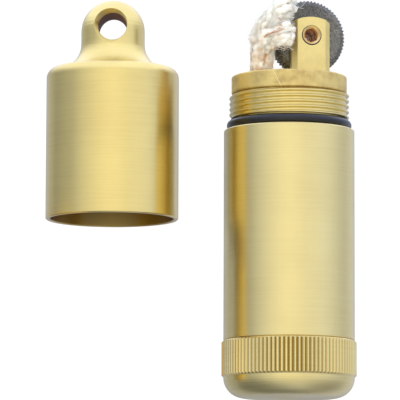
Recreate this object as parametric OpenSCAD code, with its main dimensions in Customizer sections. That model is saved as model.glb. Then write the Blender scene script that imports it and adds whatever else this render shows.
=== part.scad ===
// Peanut lighter: a pocket petrol lighter turned from brass bar, lying on a table with its
// screw cap taken off beside it. Millimetres. The table is z = 0, the lighter's own axis
// points along +Y from its base to its striker wheel, and the cap lies on its -X side.
// Each piece is modelled standing on its end, about its own axis, and is then laid down.

/* [Body tube] */
// Outer diameter of the tube
tube_d = 19.05; // [18:0.05:22]
// Wall of the tube round the fuel space
tube_wall = 1.2; // [0.9:0.05:1.5]
// Height of the tube's shoulder above the face of the base
shoulder_h = 39; // [36:0.5:60]
// Thickness of the inner shoulder that carries the neck
shoulder_wall = 1.7; // [1.2:0.1:2.5]
// Height of the neck above the shoulder
neck_h = 5.15; // [4.5:0.05:7]
// Wall of the neck under its thread
neck_wall = 1.77; // [1.4:0.01:2]

/* [Cap thread and its seal] */
// Step from the outside of the tube in to the crests of the neck's thread
thread_step = 0.775; // [0.6:0.005:1]
// Depth of the thread
thread_depth = 0.38; // [0.25:0.01:0.45]
// Distance from one crest to the next
thread_pitch = 0.8; // [0.6:0.05:1]
// Step from the outside of the tube in to the outside of the O-ring on the neck
neck_ring_step = 0.425; // [0.3:0.005:0.6]
// Thickness of the O-ring on the neck
neck_ring_t = 1.4; // [1:0.05:1.6]

/* [Base plug] */
// How far the ridges of the knurled band stand out from the tube
band_proud = 0.265; // [0.15:0.005:0.5]
// Height of the knurled band
band_h = 5.3; // [4:0.1:8]
// Height of the smooth foot under the band
foot_h = 2.95; // [2.6:0.05:4]
// Radius of the rounded edge of the foot
foot_round = 2.9; // [1:0.1:2.9]
// Number of ridges round the band
knurl_count = 96; // [72:4:120]
// Depth of the grooves between the ridges
knurl_depth = 0.22; // [0.1:0.01:0.25]
// Length of the threaded spigot inside the tube
spigot_h = 6.4; // [4.8:0.8:8]
// Thickness of the plug's bottom
plug_floor = 2.2; // [1.5:0.1:3]
// Wall of the plug's spigot under its O-ring
plug_wall = 0.925; // [0.8:0.025:1.4]
// Thickness of the O-ring on the plug
base_ring_t = 1.15; // [0.9:0.05:1.2]

/* [Cap] */
// Wall of the cap at its rim
cap_wall = 0.675; // [0.5:0.025:1.5]
// Height from the cap's rim to its shoulder
cap_h = 22.2; // [21.5:0.1:40]
// Thickness of the cap's top
cap_top = 2.6; // [2:0.1:3]
// How much the cap's rim squeezes the O-ring on the neck, on the radius
ring_squeeze = 0.1; // [0.05:0.01:0.2]
// Depth of the plain bore before the thread
cap_lead = 2.2; // [1.8:0.1:3]
// Radius of the rounded edge of the cap's shoulder
cap_round = 1.45; // [0.5:0.05:2]
// Diameter of the post on the cap
post_d = 9.3; // [8:0.1:11]
// Height of the centre of the post's dome above the shoulder
post_centre_h = 5.45; // [5:0.05:8]
// Radius of the fillet round the foot of the post, as far as the shoulder has room for it
post_fillet = 3.55; // [1:0.05:4]
// Diameter of the cross hole
hole_d = 4.15; // [3:0.05:5]
// Height of the cross hole above the centre of the post's dome
hole_lift = 0.3; // [0:0.05:0.5]
// Depth of the countersinks at the mouths of the cross hole
hole_chamfer = 1.1; // [0.4:0.05:1.3]
// How far the countersinks were cut off the hole's centre, to the side
chamfer_aside = 0.4; // [0:0.05:0.5]
// How far they were cut off its centre, towards the dome
chamfer_ahead = 0.6; // [0:0.05:0.7]

/* [Insert] */
// Step from the crests of the neck's thread in to the edge of the insert's flange
flange_step = 0.325; // [0.2:0.005:0.5]
// Height of the insert's flange
flange_h = 2.75; // [2:0.05:3.5]
// Height of the undercut between the flange and the neck
undercut_h = 0.2; // [0.1:0.05:0.4]
// Depth of that undercut
undercut_depth = 0.45; // [0.2:0.05:0.6]
// Length of the insert's spigot inside the neck
insert_spigot_h = 7.2; // [6.9:0.1:9]
// How far the insert is turned, so that its ears don't face straight up
insert_turn = 11; // [0:1:30]
// Distance of the ears, the wheel and the flint from the lighter's axis
ear_offset = 2.55; // [2.2:0.05:2.8]
// Width of an ear
ear_w = 5.7; // [5:0.1:6]
// Thickness of an ear
ear_t = 1.6; // [1.2:0.1:2]
// Height of an ear above the flange
ear_h = 8.5; // [8:0.1:10]
// Radius of the arched top of an ear
ear_top_r = 5.5; // [4:0.1:8]
// Width of the chamfer down the outer edges of an ear
ear_chamfer = 0.77; // [0.3:0.01:1]
// Diameter of the hole for the axle through an ear
ear_hole_d = 2.9; // [2.8:0.02:3]

/* [Striker wheel] */
// Diameter over the teeth
wheel_d = 10.9; // [10:0.1:11]
// Thickness of the wheel
wheel_w = 3.6; // [3:0.1:4]
// Number of teeth
wheel_teeth = 64; // [48:2:72]
// Depth of the teeth
tooth_depth = 0.3; // [0.2:0.02:0.35]
// Radial width of the bevel on each side of the rim
bevel_r = 0.8; // [0.5:0.05:1]
// Thickness that the bevel takes from each side of the rim
bevel_w = 0.65; // [0.4:0.05:0.9]
// Diameter of the tubular rivet that the wheel turns on
axle_d = 2.64; // [2.5:0.02:2.7]
// Bore of the tubular rivet
axle_bore_d = 1.95; // [1.6:0.05:2]
// Height of the axle above the flange
axle_h = 5.75; // [5.7:0.05:6]

/* [Flint] */
// Diameter of the flint
flint_d = 2.5; // [2:0.1:2.6]
// Length of the flint
flint_l = 4.2; // [2:0.1:5]
// Bore of the flint tube
flint_bore_d = 3.1; // [3:0.05:3.2]
// Outer diameter of the flint tube
flint_tube_d = 4.6; // [4.4:0.1:5]
// Height of the flint tube's lower end above the face of the base
flint_tube_foot = 13; // [11.5:0.1:14]
// Length of the screw's threaded shank
screw_shank_l = 5; // [3:0.5:6]
// Diameter of the screw's head
screw_head_d = 4.6; // [4:0.1:5]
// Height of the screw's head
screw_head_h = 2; // [1.5:0.1:2.5]
// Width of the slot across the screw's head
screw_slot_w = 0.7; // [0.4:0.05:1]
// Depth of the slot across the screw's head
screw_slot_depth = 0.9; // [0.5:0.05:1.2]
// Thickness of the spring's wire
spring_wire = 0.45; // [0.3:0.01:0.5]
// Number of turns of the spring
spring_turns = 16; // [8:1:24]

/* [Wick and wadding] */
// Distance of the wick's hole from the lighter's axis
wick_offset = 4.2; // [4:0.05:4.4]
// Diameter of the wick below its frayed end
wick_d = 2.5; // [2:0.1:2.6]
// Height of the wick's tip above the insert's flange
wick_h = 10.1; // [9:0.1:10.5]
// Diameter of the copper strand in the wick
strand_d = 0.25; // [0.2:0.01:0.4]
// Thickness of the felt pad
felt_t = 2; // [1:0.1:3]
// Number of cotton pads over the felt
wadding_count = 4; // [4:1:4]

/* [Layout] */
// Distance between the cap's axis and the lighter's axis as they lie
pair_pitch = 25.8; // [25:0.1:40]
// How far along the lighter the rim of the cap lies
cap_rim_y = 25.9; // [20:0.1:40]

/* [Hidden] */
$fn = 96;

// Clearances
running_gap = 0.05;
seat_gap = 0.03;
soft_gap = 0.2;
thread_gap = 0.12;
stack_gap = 0.05;
wheel_gap = 0.3;
flint_gap = 0.1;
ring_crevice = 0.25;

// How far one shape is sunk into the next where they are one piece, or runs past what it cuts
overlap = 0.2;
past = 1;

// Small edges
edge_break = 0.15;
shoulder_flat = 0.02;
lead_chamfer = 0.2;
rivet_flare = 0.25;

// A thread's ridge: half its width at the foot and at the crest, as shares of the pitch
ridge_foot_share = 0.42;
ridge_crest_share = 0.1;

// Heights along the lighter's axis, from the face of its base
seam_h = foot_h + band_h;
neck_top_h = shoulder_h + neck_h;
flange_top_h = neck_top_h + flange_h;
hole_centre_h = flange_top_h + axle_h;
spigot_top_h = seam_h + spigot_h;
insert_foot_h = neck_top_h - insert_spigot_h;

// Radii of the tube, the neck, the cap and the plug
tube_r = tube_d / 2;
tank_r = tube_r - tube_wall;
band_r = tube_r + band_proud;
thread_r = tube_r - thread_step;
thread_root_r = thread_r - thread_depth;
neck_bore_r = thread_root_r - neck_wall;
neck_ring_r = tube_r - neck_ring_step;
neck_groove_r = neck_ring_r - neck_ring_t;
neck_groove_h = running_gap + neck_ring_t + ring_crevice;
cap_bore_r = neck_ring_r - ring_squeeze;
cap_r = cap_bore_r + cap_wall;
flange_r = thread_r - flange_step;
spigot_thread_r = tank_r - thread_gap;
spigot_root_r = spigot_thread_r - thread_depth;
base_groove_r = tank_r - running_gap - base_ring_t;
base_groove_h = base_ring_t + 5 * running_gap;
base_groove_z = seam_h + 2 * edge_break;
plug_hollow_r = base_groove_r - plug_wall;

// The axle is pushed up in its holes by the flint, towards the open side of the ears
axle_play = (ear_hole_d - axle_d) / 2 - seat_gap;
axle_lean = 25;
axle_x = ear_offset + axle_play * sin(axle_lean);
axle_z = hole_centre_h + axle_play * cos(axle_lean);
slot_w = wheel_w + 2 * wheel_gap;
ear_out = slot_w / 2 + ear_t;
ear_edge = ear_offset - ear_w / 2;
axle_l = 2 * (ear_out - edge_break);

// The flint's stack, downwards from the wheel
flint_top_h = axle_z - wheel_d / 2 - flint_gap;
flint_foot_h = flint_top_h - flint_l;
plunger_head_h = 1;
plunger_pin_l = 3;
plunger_pin_d = 1.5;
plunger_foot_h = flint_foot_h - stack_gap - plunger_head_h;
shank_top_h = flint_tube_foot + screw_shank_l;
flint_bore_r = flint_bore_d / 2;
spring_r = flint_bore_r - running_gap * 3 - spring_wire / 2;
spring_foot_h = shank_top_h + stack_gap;
spring_top_h = plunger_foot_h - stack_gap;
tube_socket_h = 3;

// The wadding fills the tank between the plug's spigot and the insert
felt_foot_h = spigot_top_h + soft_gap;
wadding_foot_h = felt_foot_h + felt_t + stack_gap;
wadding_top_h = min(insert_foot_h, shoulder_h - shoulder_wall) - soft_gap;
wadding_h = (wadding_top_h - wadding_foot_h) / wadding_count;
wadding_r = tank_r - soft_gap;

// The wick rises through the insert, leans out in front of the wheel's rim and the near ear, and
// ends in two frayed locks. Each point gives shares of the reach from the wick's hole to the
// ear's edge, of the lean from the lighter's axis to the ear's face, of the wick's height above
// the flange, and of the wick's radius.
wick_r = wick_d / 2;
wick_foot_h = wadding_foot_h + felt_t;
function in_wick(shares, r) = [for (s = shares) [
    -wick_offset + s[0] * (ear_edge + wick_offset),
    -s[1] * ear_out,
    flange_top_h + s[2] * wick_h,
    s[3] * r
]];
wick_stem = concat([[-wick_offset, 0, wick_foot_h, wick_r]], in_wick([
    [0, 0, -0.05, 1], [-0.03, 0.24, 0.1, 1], [-0.03, 0.7, 0.3, 1.04], [0.03, 1.03, 0.52, 1.08]
], wick_r));
upper_lock = in_wick([
    [0.03, 1.03, 0.51, 1], [0.2, 1.11, 0.72, 1.2], [0.54, 1.14, 0.89, 1.04], [0.9, 1.14, 1, 0.64]
], wick_r);
lower_lock = in_wick([
    [0.08, 1, 0.44, 0.8], [0.46, 1.19, 0.49, 1.12], [0.8, 1.35, 0.56, 1.04], [1, 1.43, 0.61, 0.72]
], wick_r);
strand_route = in_wick([
    [0.03, 0.03, -0.2, 1], [-0.03, 0.51, 0.06, 1], [0, 1.05, 0.24, 1], [0.1, 1.19, 0.36, 1],
    [0.13, 1.35, 0.49, 1], [0.46, 1.62, 0.56, 1], [0.82, 1.76, 0.65, 1]
], strand_d / 2);

// Colours
brass = "#d6c07a";
pale_brass = "#c9ad62";
steel = "#6b6a68";
rubber = "#26262c";
copper = "#b8713c";
flint_grey = "#55504c";
cotton = "#ece7dc";
felt_grey = "#b9b2a2";

// Where the two pieces lie, with the origin on the table under the middle of the pair
pair_l = max(
    axle_z + wheel_d / 2,
    cap_rim_y + cap_h + post_centre_h + post_d / 2
);
lighter_x = (pair_pitch + cap_r - band_r) / 2;
cap_x = lighter_x - pair_pitch;
base_y = -pair_l / 2;

module lay_lighter() {
    translate([lighter_x, base_y, band_r]) rotate([-90, 0, 0]) children();
}

module lay_cap() {
    translate([cap_x, base_y + cap_rim_y, cap_r]) rotate([-90, 0, 0]) children();
}

// The insert and what it carries are turned together about the lighter's axis
module lay_insert() {
    lay_lighter() rotate([0, 0, insert_turn]) children();
}

// A solid swept through rings of points, all wound alike about the direction of travel
module swept(rings) {
    n = len(rings[0]);
    m = len(rings);
    polyhedron(
        points = [for (ring = rings) each ring],
        faces = concat(
            [[for (j = [0 : n - 1]) j]],
            [for (i = [0 : m - 2], j = [0 : n - 1]) each [
                [i * n + j, (i + 1) * n + (j + 1) % n, i * n + (j + 1) % n],
                [i * n + j, (i + 1) * n + j, (i + 1) * n + (j + 1) % n]
            ]],
            [[for (j = [n - 1 : -1 : 0]) (m - 1) * n + j]]
        )
    );
}

// A right-hand helical ridge. It grows out of base_r and thins out over its first and last part
module ridge(base_r, crest_r, pitch, turns, z0) {
    steps_per_turn = 32;
    steps = round(turns * steps_per_turn);
    runout = steps_per_turn / 4;
    thinnest = 0.02;
    outward = crest_r > base_r;
    r0 = base_r + (outward ? -overlap : overlap) / 2;
    foot = pitch * ridge_foot_share;
    crest = pitch * ridge_crest_share;
    swept([
        for (i = [0 : steps])
            let (
                a = i * 360 / steps_per_turn,
                z = z0 + pitch * i / steps_per_turn,
                grow = min(1, i / runout, (steps - i) / runout),
                r1 = base_r + max(grow, thinnest) * (crest_r - base_r),
                ring = [[r0, z - foot], [r0, z + foot], [r1, z + crest], [r1, z - crest]]
            )
            [for (k = [0 : 3])
                let (p = ring[outward ? k : 3 - k])
                [p[0] * cos(a), p[0] * sin(a), p[1]]
            ]
    ]);
}

// A round tube through points [x, y, z, radius], with its rings square to the route
function unit(v) = v / norm(v);
function ahead(p, i) = unit(p[min(i + 1, len(p) - 1)] - p[max(i - 1, 0)]);
module round_tube(route, sides = 10) {
    at = [for (q = route) [q[0], q[1], q[2]]];
    swept([
        for (i = [0 : len(at) - 1])
            let (
                t = ahead(at, i),
                u = unit(cross([0, 1, 0.001], t)),
                v = cross(t, u)
            )
            [for (j = [0 : sides - 1])
                let (a = 360 * j / sides)
                at[i] + route[i][3] * (cos(a) * u + sin(a) * v)
            ]
    ]);
}

// Points of an arc about [cx, cy], for profiles
function arc(cx, cy, r, a0, a1, n = 12) =
    [for (i = [0 : n]) let (a = a0 + (a1 - a0) * i / n) [cx + r * cos(a), cy + r * sin(a)]];

// The cap: a turned cup with a post on top, its bore stepped for the seal and threaded
module cap() {
    relief_r = thread_r + thread_gap;
    crest_r = thread_root_r + thread_gap;
    thread_from = cap_lead + thread_pitch;
    turns = floor((neck_h - neck_groove_h) / thread_pitch);
    fillet_r = min(post_fillet, cap_r - cap_round - post_d / 2 - shoulder_flat);
    sink_h = hole_d / 2 + hole_chamfer;
    color(brass) lay_cap() difference() {
        union() {
            difference() {
                rotate_extrude() polygon(concat(
                    [[0, 0], [cap_r - edge_break, 0], [cap_r, edge_break]],
                    arc(cap_r - cap_round, cap_h - cap_round, cap_round, 0, 90),
                    arc(post_d / 2 + fillet_r, cap_h + fillet_r, fillet_r, 270, 180),
                    arc(0, cap_h + post_centre_h, post_d / 2, 0, 90)
                ));
                translate([0, 0, -past]) cylinder(r = cap_bore_r, h = past + cap_lead);
                cylinder(r = relief_r, h = cap_h - cap_top);
                cylinder(r1 = cap_bore_r + edge_break, r2 = cap_bore_r, h = edge_break);
            }
            ridge(relief_r, crest_r, thread_pitch, turns, thread_from);
        }
        // The cross hole, with its mouths countersunk by hand to a right angle
        translate([0, 0, cap_h + post_centre_h + hole_lift]) rotate([90, 0, 0]) {
            cylinder(d = hole_d, h = post_d + 2 * past, center = true);
            for (side = [0, 180]) rotate([0, side, 0])
                translate([-chamfer_aside, chamfer_ahead, post_d / 2 - sink_h])
                    cylinder(r1 = 0, r2 = sink_h + past, h = sink_h + past);
        }
    }
}

// The body: a tube with an inner shoulder and a neck, whose thread runs out at its end face
module body_tube() {
    // The ridge starts under the edge that cuts its foot, and runs out past the neck's top
    thread_foot = shoulder_h + neck_groove_h;
    thread_from = thread_foot - 0.75 * thread_pitch;
    turns = (neck_top_h - thread_from) / thread_pitch + 0.5;
    color(brass) lay_lighter() {
        rotate_extrude() polygon([
            [tank_r, seam_h + edge_break], [tank_r + edge_break, seam_h],
            [tube_r - edge_break, seam_h], [tube_r, seam_h + edge_break],
            [tube_r, shoulder_h - edge_break], [tube_r - edge_break, shoulder_h],
            [neck_groove_r, shoulder_h], [neck_groove_r, thread_foot],
            [thread_root_r, thread_foot], [thread_root_r, neck_top_h],
            [neck_bore_r, neck_top_h], [neck_bore_r, shoulder_h - shoulder_wall],
            [tank_r, shoulder_h - shoulder_wall]
        ]);
        intersection() {
            ridge(thread_root_r, thread_r, thread_pitch, turns, thread_from);
            translate([0, 0, thread_foot]) cylinder(r = tube_r, h = neck_top_h - thread_foot);
        }
    }
}

module o_ring(outer_r, t, z) {
    translate([0, 0, z]) rotate_extrude() translate([outer_r - t / 2, 0]) circle(d = t);
}

module neck_o_ring() {
    color(rubber) lay_lighter()
        o_ring(neck_ring_r, neck_ring_t, shoulder_h + running_gap + neck_ring_t / 2);
}

module base_o_ring() {
    color(rubber) lay_lighter()
        o_ring(tank_r - running_gap, base_ring_t, base_groove_z + base_groove_h / 2);
}

// The base plug: a rounded foot, a knurled band, and a hollow threaded spigot
module base_plug() {
    blank_r = band_r + edge_break;
    bevel = blank_r - tube_r;
    spigot_from = base_groove_z + base_groove_h;
    turns = (spigot_top_h - spigot_from) / thread_pitch - 1;
    color(brass) lay_lighter() {
        difference() {
            rotate_extrude() polygon(concat(
                [[0, 0]],
                arc(tube_r - foot_round, foot_round, foot_round, 270, 360),
                [
                    [tube_r, foot_h], [blank_r, foot_h + bevel], [blank_r, seam_h - bevel],
                    [tube_r, seam_h], [spigot_root_r, seam_h], [spigot_root_r, base_groove_z],
                    [base_groove_r, base_groove_z], [base_groove_r, spigot_from],
                    [spigot_root_r, spigot_from], [spigot_root_r, spigot_top_h - lead_chamfer],
                    [spigot_root_r - lead_chamfer, spigot_top_h], [0, spigot_top_h]
                ]
            ));
            translate([0, 0, plug_floor]) cylinder(r = plug_hollow_r, h = spigot_top_h);
            knurl_grooves(blank_r);
        }
        ridge(spigot_root_r, spigot_thread_r, thread_pitch, turns, spigot_from + thread_pitch / 2);
    }
}

// What the knurling takes off the band: all that lies outside its ridges, each with a flat crest
module knurl_grooves(blank_r) {
    root_r = band_r - knurl_depth;
    step = 360 / knurl_count;
    flat = 0.12 * step;
    translate([0, 0, foot_h - past]) linear_extrude(band_h + 2 * past) difference() {
        circle(r = blank_r + past);
        polygon([for (i = [0 : knurl_count - 1]) each [
            band_r * [cos(i * step - flat), sin(i * step - flat)],
            band_r * [cos(i * step + flat), sin(i * step + flat)],
            root_r * [cos((i + 0.5) * step), sin((i + 0.5) * step)]
        ]]);
    }
}

// The insert: a flange with two ears for the wheel, and a spigot pressed into the neck
module insert() {
    spigot_r = neck_bore_r - seat_gap;
    seat_r = flange_r - undercut_depth;
    flange_foot_h = neck_top_h + undercut_h;
    color(pale_brass) lay_insert() difference() {
        union() {
            rotate_extrude() polygon([
                [0, insert_foot_h], [spigot_r - lead_chamfer, insert_foot_h],
                [spigot_r, insert_foot_h + lead_chamfer], [spigot_r, neck_top_h],
                [seat_r, neck_top_h], [seat_r, flange_foot_h],
                [flange_r - edge_break, flange_foot_h], [flange_r, flange_foot_h + edge_break],
                [flange_r, flange_top_h - edge_break], [flange_r - edge_break, flange_top_h],
                [0, flange_top_h]
            ]);
            for (side = [0, 180]) translate([ear_offset, 0, 0]) rotate([0, 0, side]) ear();
        }
        translate([ear_offset, 0, hole_centre_h]) rotate([90, 0, 0])
            cylinder(d = ear_hole_d, h = 4 * ear_out, center = true);
        translate([ear_offset, 0, 0]) {
            cylinder(r = flint_bore_r, h = 2 * flange_top_h);
            translate([0, 0, insert_foot_h - past])
                cylinder(r = flint_tube_d / 2 + seat_gap, h = past + tube_socket_h);
        }
        translate([-wick_offset, 0, 0]) cylinder(r = wick_r + soft_gap / 2, h = 2 * flange_top_h);
    }
}

module ear() {
    intersection() {
        translate([0, 0, flange_top_h - overlap]) linear_extrude(ear_h + overlap) polygon([
            [-ear_w / 2, -slot_w / 2], [-ear_w / 2, -ear_out + ear_chamfer],
            [-ear_w / 2 + ear_chamfer, -ear_out], [ear_w / 2 - ear_chamfer, -ear_out],
            [ear_w / 2, -ear_out + ear_chamfer], [ear_w / 2, -slot_w / 2]
        ]);
        union() {
            translate([0, 0, flange_top_h + ear_h - ear_top_r]) rotate([90, 0, 0])
                cylinder(r = ear_top_r, h = 4 * ear_out, center = true);
            translate([-ear_w, -2 * ear_out, 0])
                cube([2 * ear_w, 4 * ear_out, flange_top_h + ear_h - ear_top_r]);
        }
    }
}

// The striker wheel: slanted teeth right round a rim that is bevelled on both sides
module striker_wheel() {
    step = 360 / wheel_teeth;
    crest = 0.15 * step;
    root = 0.7 * step;
    r = wheel_d / 2;
    root_r = r - tooth_depth;
    outside_r = r + edge_break;
    outside_w = bevel_w * (1 + edge_break / bevel_r);
    color(steel) lay_insert() translate([axle_x, 0, axle_z]) rotate([90, 0, 0])
        translate([0, 0, -wheel_w / 2]) difference() {
            intersection() {
                linear_extrude(wheel_w) polygon([for (i = [0 : wheel_teeth - 1]) each [
                    r * [cos(i * step), sin(i * step)],
                    r * [cos(i * step + crest), sin(i * step + crest)],
                    root_r * [cos(i * step + root), sin(i * step + root)]
                ]]);
                rotate_extrude() polygon([
                    [0, 0], [r - bevel_r, 0], [outside_r, outside_w],
                    [outside_r, wheel_w - outside_w], [r - bevel_r, wheel_w], [0, wheel_w]
                ]);
            }
            translate([0, 0, -past]) cylinder(d = axle_d + 2 * running_gap, h = wheel_w + 2 * past);
        }
}

// The axle: a tubular rivet that lies loosely in the ears
module wheel_axle() {
    color(copper) lay_insert() translate([axle_x, 0, axle_z]) rotate([90, 0, 0]) difference() {
        cylinder(d = axle_d, h = axle_l, center = true);
        cylinder(d = axle_bore_d, h = axle_l + 2 * past, center = true);
        for (side = [0, 180]) rotate([0, side, 0]) translate([0, 0, axle_l / 2 - rivet_flare])
            cylinder(d1 = axle_bore_d, d2 = axle_d - 2 * running_gap, h = rivet_flare);
    }
}

module flint_tube() {
    top_h = insert_foot_h + tube_socket_h;
    color(brass) lay_insert() translate([ear_offset, 0, flint_tube_foot]) difference() {
        cylinder(d = flint_tube_d, h = top_h - flint_tube_foot);
        translate([0, 0, -past]) cylinder(r = flint_bore_r, h = top_h);
    }
}

// The flint, with its top worn hollow by the wheel
module flint() {
    color(flint_grey) lay_insert() difference() {
        translate([ear_offset, 0, flint_foot_h]) cylinder(d = flint_d, h = flint_l);
        translate([axle_x, 0, axle_z]) rotate([90, 0, 0])
            cylinder(r = wheel_d / 2 + flint_gap, h = 2 * wheel_w, center = true);
    }
}

module flint_plunger() {
    color(brass) lay_insert() translate([ear_offset, 0, plunger_foot_h]) {
        cylinder(r = flint_bore_r - running_gap, h = plunger_head_h);
        translate([0, 0, -plunger_pin_l]) cylinder(d = plunger_pin_d, h = plunger_pin_l + overlap);
    }
}

module flint_spring() {
    rings_per_turn = 8;
    steps = spring_turns * rings_per_turn;
    lift = spring_top_h - spring_foot_h - spring_wire;
    w = spring_wire / 2;
    color(steel) lay_insert() translate([ear_offset, 0, spring_foot_h + w]) swept([
        for (i = [0 : steps])
            let (a = i * 360 / rings_per_turn, z = lift * i / steps)
            [for (k = [0 : 5])
                let (b = -60 * k, r = spring_r + w * cos(b))
                [r * cos(a), r * sin(a), z + w * sin(b)]
            ]
    ]);
}

// The flint screw, with a slot across its head
module flint_screw() {
    head_foot_h = flint_tube_foot - screw_head_h;
    color(brass) lay_insert() translate([ear_offset, 0, head_foot_h]) difference() {
        union() {
            cylinder(d = screw_head_d, h = screw_head_h);
            cylinder(r = flint_bore_r - running_gap, h = screw_head_h + screw_shank_l);
        }
        translate([-screw_head_d, -screw_slot_w / 2, -past])
            cube([2 * screw_head_d, screw_slot_w, past + screw_slot_depth]);
    }
}

module wick() {
    color(cotton) lay_insert() {
        round_tube(wick_stem);
        round_tube(upper_lock);
        round_tube(lower_lock);
    }
}

module wick_strand() {
    color(copper) lay_insert() round_tube(strand_route, 6);
}

// A disc that fills the tank, with holes for the flint tube and, if asked, the wick
module tank_disc(foot_h, h, wick_hole) {
    translate([0, 0, foot_h]) difference() {
        cylinder(r = wadding_r, h = h);
        translate([ear_offset, 0, -past])
            cylinder(r = flint_tube_d / 2 + soft_gap / 2, h = h + 2 * past);
        if (wick_hole)
            translate([-wick_offset, 0, -past]) cylinder(r = wick_r + soft_gap / 2, h = h + 2 * past);
    }
}

module felt_pad() {
    color(felt_grey) lay_insert() tank_disc(felt_foot_h, felt_t, false);
}

module wadding(i) {
    color(cotton) lay_insert()
        tank_disc(wadding_foot_h + i * wadding_h, wadding_h - stack_gap, true);
}

cap();
body_tube();
neck_o_ring();
base_plug();
base_o_ring();
insert();
striker_wheel();
wheel_axle();
flint_tube();
flint();
flint_plunger();
flint_spring();
flint_screw();
wick();
wick_strand();
felt_pad();
wadding(0);  // wadding_1
wadding(1);  // wadding_2
wadding(2);  // wadding_3
wadding(3);  // wadding_4
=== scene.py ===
# Peanut lighter: a pocket petrol lighter of turned brass, lying beside its screw cap. Metres, in
# the frame's own axes: the table is z = 0 and the lighter's axis points along +Y to its wheel.
import math
import random

import bmesh
import bpy
from mathutils import Matrix, Vector, noise


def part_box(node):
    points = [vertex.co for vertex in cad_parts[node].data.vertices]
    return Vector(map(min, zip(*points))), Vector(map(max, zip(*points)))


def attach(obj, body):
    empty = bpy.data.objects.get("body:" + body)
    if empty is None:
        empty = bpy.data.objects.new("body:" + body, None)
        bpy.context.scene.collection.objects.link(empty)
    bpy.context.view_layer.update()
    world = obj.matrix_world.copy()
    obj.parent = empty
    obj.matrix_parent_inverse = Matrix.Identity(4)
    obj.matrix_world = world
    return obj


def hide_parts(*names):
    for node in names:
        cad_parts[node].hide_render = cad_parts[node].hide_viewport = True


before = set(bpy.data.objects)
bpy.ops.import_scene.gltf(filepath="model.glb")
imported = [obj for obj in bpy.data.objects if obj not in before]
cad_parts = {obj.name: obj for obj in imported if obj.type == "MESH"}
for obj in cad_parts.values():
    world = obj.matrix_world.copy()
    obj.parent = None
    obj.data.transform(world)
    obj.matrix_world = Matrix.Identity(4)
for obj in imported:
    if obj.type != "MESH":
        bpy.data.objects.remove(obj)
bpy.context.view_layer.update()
scene = bpy.context.scene

# Camera. A long lens looks down on the table from the foot's side, seven degrees off upright,
# so the round rims show as thin ellipses and the outlines hardly taper.
MM = 0.001
CAMERA_TILT = math.radians(7.091)
CAMERA_ROLL = math.radians(0.2)
CAMERA_AIM = Vector((-0.134, -0.307, 10)) * MM
CAMERA_DISTANCE = 524.18 * MM
LENS_MM = 324
SENSOR_MM = 36
looking = Vector((0, math.sin(CAMERA_TILT), -math.cos(CAMERA_TILT)))
lens = bpy.data.cameras.new("camera")
lens.lens = LENS_MM
lens.sensor_width = SENSOR_MM
camera = bpy.data.objects.new("camera", lens)
camera.matrix_world = (
    Matrix.Translation(CAMERA_AIM - looking * CAMERA_DISTANCE)
    @ Matrix.Rotation(CAMERA_TILT, 4, "X")
    @ Matrix.Rotation(CAMERA_ROLL, 4, "Z")
)
scene.collection.objects.link(camera)
scene.camera = camera
scene.view_settings.view_transform = "Standard"


# Table. A sheet of clear opal acrylic, which keeps a faint shadow of the pieces, with a white
# light panel far below it: the way small metal goods are shot on pure white.
OPAL_WHITE = "#fafafa"
OPAL_SCATTER = 0.12
SHEET_SIDE = 90 * MM
PANEL_DEPTH = 300 * MM
PANEL_SIDE = 120 * MM
PANEL_LEVEL = 1.06
WHITE_LIGHT = "#ffffff"


def srgb(code):
    """The linear colour of an sRGB hex value."""
    shares = [int(code[i:i + 2], 16) / 255 for i in (1, 3, 5)]
    linear = [s / 12.92 if s <= 0.04045 else ((s + 0.055) / 1.055) ** 2.4 for s in shares]
    return (*linear, 1.0)


def add(tree, kind, inputs=None, stops=(), **settings):
    """Adds a node with its settings, and links or sets its inputs. stops are a colour ramp's."""
    node = tree.nodes.new("ShaderNode" + kind)
    for name, value in settings.items():
        setattr(node, name, value)
    for name, value in (inputs or {}).items():
        if isinstance(value, bpy.types.Node):
            value = value.outputs[0]
        if isinstance(value, bpy.types.NodeSocket):
            tree.links.new(value, node.inputs[name])
        else:
            node.inputs[name].default_value = value
    for i, (position, colour) in enumerate(stops):
        marks = node.color_ramp.elements
        mark = marks[i] if i < 2 else marks.new(position)
        mark.position = position
        mark.color = colour
    return node


def material(name):
    """A new material with an empty tree."""
    made = bpy.data.materials.new(name)
    made.use_nodes = True
    made.node_tree.nodes.clear()
    return made, made.node_tree


def place(name, mesh, finish, smooth=True):
    """Puts a mesh or a bmesh in the scene as an object with one material."""
    if isinstance(mesh, bmesh.types.BMesh):
        built, mesh = mesh, bpy.data.meshes.new(name)
        built.to_mesh(mesh)
        built.free()
    for face in mesh.polygons:
        face.use_smooth = smooth
    mesh.materials.append(finish)
    piece = bpy.data.objects.new(name, mesh)
    scene.collection.objects.link(piece)
    return piece


opal, tree = material("cast_opal_acrylic")
clear = add(tree, "BsdfTransparent", {"Color": srgb(WHITE_LIGHT)})
scatter = add(tree, "BsdfDiffuse", {"Color": srgb(OPAL_WHITE)})
sheet = add(tree, "MixShader", {0: OPAL_SCATTER, 1: clear, 2: scatter})
add(tree, "OutputMaterial", {"Surface": sheet})
flat = bmesh.new()
bmesh.ops.create_grid(flat, x_segments=1, y_segments=1, size=SHEET_SIDE / 2)
place("table_sheet", flat, opal, smooth=False)
panel_light, tree = material("light_panel")
lit = add(tree, "Emission", {"Color": srgb(WHITE_LIGHT), "Strength": PANEL_LEVEL})
add(tree, "OutputMaterial", {"Surface": lit})
flat = bmesh.new()
bmesh.ops.create_grid(flat, x_segments=1, y_segments=1, size=PANEL_SIDE / 2)
behind = looking * (PANEL_DEPTH / -looking.z)
bmesh.ops.translate(flat, verts=flat.verts, vec=behind)
panel = place("light_panel", flat, panel_light, smooth=False)
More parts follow.
